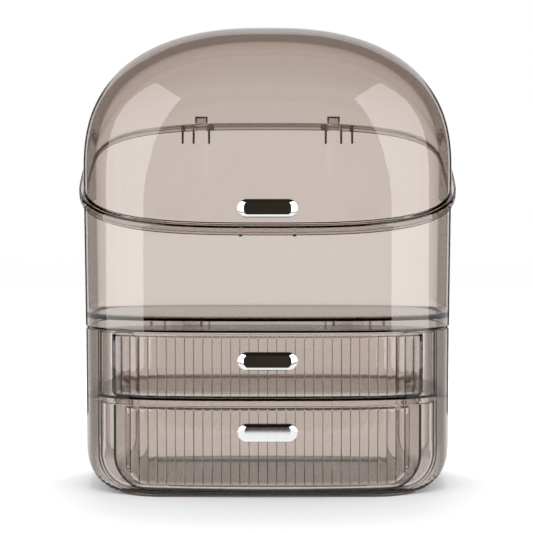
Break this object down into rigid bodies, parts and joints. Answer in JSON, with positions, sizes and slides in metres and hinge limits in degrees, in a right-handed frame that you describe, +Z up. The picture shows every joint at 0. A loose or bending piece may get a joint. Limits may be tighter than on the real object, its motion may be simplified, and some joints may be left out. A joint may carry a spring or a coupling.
{
  "type": "dustproof makeup organizer",
  "caption": "Smoked clear countertop organizer: drawer cabinet with reeded fronts, open case above, hinged dome lid and bright pulls.",
  "frame": {"origin": "centre of the foot, on the surface it stands on", "axes": "+X to the right, the drawers open towards -Y, +Z up"},
  "size_m": [0.3014, 0.2152, 0.3645],
  "materials": {
    "smoked_case": "clear smoked polystyrene, polished",
    "smoked_plates": "clear smoked polystyrene, polished",
    "smoked_lid": "clear smoked polystyrene, polished",
    "smoked_drawers": "clear smoked polystyrene, polished, reeded fronts",
    "smoked_pins": "clear smoked plastic pins",
    "chrome_pulls": "bright chrome-plated plastic"
  },
  "bodies": {
    "case": {"foot_plate": "smoked_plates", "cabinet_shell": "smoked_case", "cabinet_top_plate": "smoked_plates", "middle_shelf": "smoked_plates", "upper_case": "smoked_case", "hinge_pin_left": "smoked_pins", "hinge_pin_right": "smoked_pins"},
    "lid": {"lid_dome": "smoked_lid", "lid_pull": "chrome_pulls"},
    "upper_drawer": {"upper_drawer_tray": "smoked_drawers", "upper_drawer_pull": "chrome_pulls"},
    "lower_drawer": {"lower_drawer_tray": "smoked_drawers", "lower_drawer_pull": "chrome_pulls"}
  },
  "joints": [
    {"name": "lid_hinge", "type": "hinge", "parent": "case", "child": "lid", "pos_m": [0, 0.108, 0.29199], "axis": [-1, 0, 0], "range_deg": [0, 105]},
    {"name": "upper_drawer_slide", "type": "slide", "parent": "case", "child": "upper_drawer", "axis": [0, -1, 0], "range_m": [0, 0.13]},
    {"name": "lower_drawer_slide", "type": "slide", "parent": "case", "child": "lower_drawer", "axis": [0, -1, 0], "range_m": [0, 0.13]}
  ]
}
